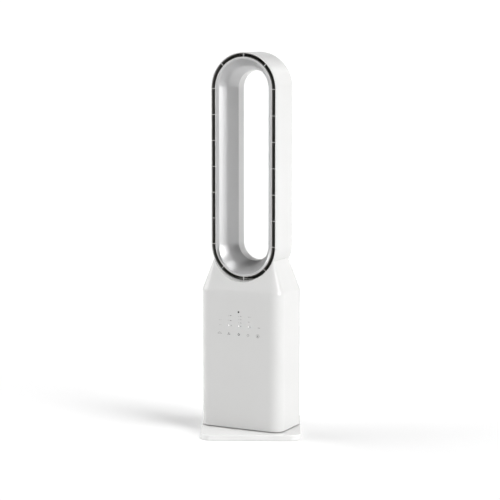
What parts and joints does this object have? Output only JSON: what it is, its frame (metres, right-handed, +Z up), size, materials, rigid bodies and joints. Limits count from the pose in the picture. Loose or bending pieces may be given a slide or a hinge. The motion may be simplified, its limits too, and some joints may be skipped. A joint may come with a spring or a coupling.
{
  "type": "bladeless fan",
  "caption": "Free-standing bladeless tower fan: tall racetrack air ring on a rounded rectangular body that swings on a flat square base, with an impeller inside.",
  "frame": {"origin": "on the floor under the swing axis, at the centre of the square base", "axes": "+Z up along the swing axis, -Y out of the base's front edge, +X to the right seen from the front; at rest the head is turned 26 degrees towards -X as in the picture"},
  "size_m": [0.251, 0.2526, 0.96],
  "materials": {
    "white_plastic": "semi-gloss moulded white",
    "silver_paint": "satin silver",
    "black_plastic": "matt black",
    "grey_plastic": "matt moulded",
    "black_rubber": "matt",
    "white_rubber": "matt",
    "zinc_steel": "zinc plated",
    "screw_steel": "bright zinc",
    "core_steel": "dark lacquered",
    "bearing_steel": "ground and polished",
    "copper_wire": "enamelled copper",
    "brass_nut": "turned",
    "gear_acetal": "natural acetal",
    "impeller_plastic": "matt",
    "filter_mesh": "woven screen",
    "green_board": "solder mask",
    "led_lens": "clear lens",
    "smoked_window": "smoked"
  },
  "bodies": {
    "base": {"base_top_cover": "white_plastic", "base_bottom_cover": "grey_plastic", "base_weight": "zinc_steel", "rubber_feet": "black_rubber", "base_screws": "screw_steel", "pivot_tube": "grey_plastic", "pivot_screws": "screw_steel", "swing_gear": "gear_acetal", "thrust_ring": "gear_acetal", "retaining_washer": "zinc_steel", "retaining_screws": "screw_steel", "cord_gland": "white_rubber"},
    "head": {"lower_chassis": "grey_plastic", "chassis_screws": "screw_steel", "front_housing": "white_plastic", "rear_cover": "white_plastic", "rear_cover_screws": "screw_steel", "filter_screen": "filter_mesh", "ring_outer_shell": "white_plastic", "ring_front_frame": "white_plastic", "slot_liner": "black_plastic", "ring_inner_shell": "silver_paint", "ring_gasket": "black_rubber", "ring_screws": "screw_steel", "air_duct": "grey_plastic", "fan_cradle": "grey_plastic", "cradle_screws": "screw_steel", "rubber_mounts": "black_rubber", "intake_bellmouth": "grey_plastic", "fan_housing": "grey_plastic", "diffuser": "grey_plastic", "module_screws": "screw_steel", "duct_screws": "screw_steel", "motor_can": "zinc_steel", "motor_end_bell": "zinc_steel", "stator_core": "core_steel", "motor_windings": "copper_wire", "motor_bearings": "bearing_steel", "motor_dampers": "black_rubber", "motor_cap": "grey_plastic", "control_board": "green_board", "touch_pads": "black_rubber", "indicator_leds": "led_lens", "control_board_screws": "screw_steel", "ir_window": "smoked_window", "power_board": "green_board", "power_board_parts": "black_plastic", "power_board_screws": "screw_steel", "swing_motor": "zinc_steel", "swing_motor_screws": "screw_steel", "control_lead": "black_rubber", "motor_lead": "black_rubber"},
    "rotor": {"impeller": "impeller_plastic", "motor_shaft": "bearing_steel", "rotor_magnet": "core_steel", "impeller_nut": "brass_nut"},
    "pinion": {"swing_pinion": "gear_acetal", "swing_motor_shaft": "bearing_steel"}
  },
  "joints": [
    {"name": "oscillation", "type": "hinge", "parent": "base", "child": "head", "pos_m": [0, 0, 0.03], "axis": [0, 0, 1], "range_deg": [-14, 66]},
    {"name": "impeller_spin", "type": "hinge", "parent": "head", "child": "rotor", "pos_m": [0, 0, 0.2], "axis": [0, 0, 1], "continuous": true},
    {"name": "swing_pinion_spin", "type": "hinge", "parent": "head", "child": "pinion", "pos_m": [0.0428, -0.02088, 0.047], "axis": [0, 0, 1], "range_deg": [-54, 249]}
  ],
  "couplings": [
    {"joint": "swing_pinion_spin", "follows": "oscillation", "ratio": 3.75}
  ]
}
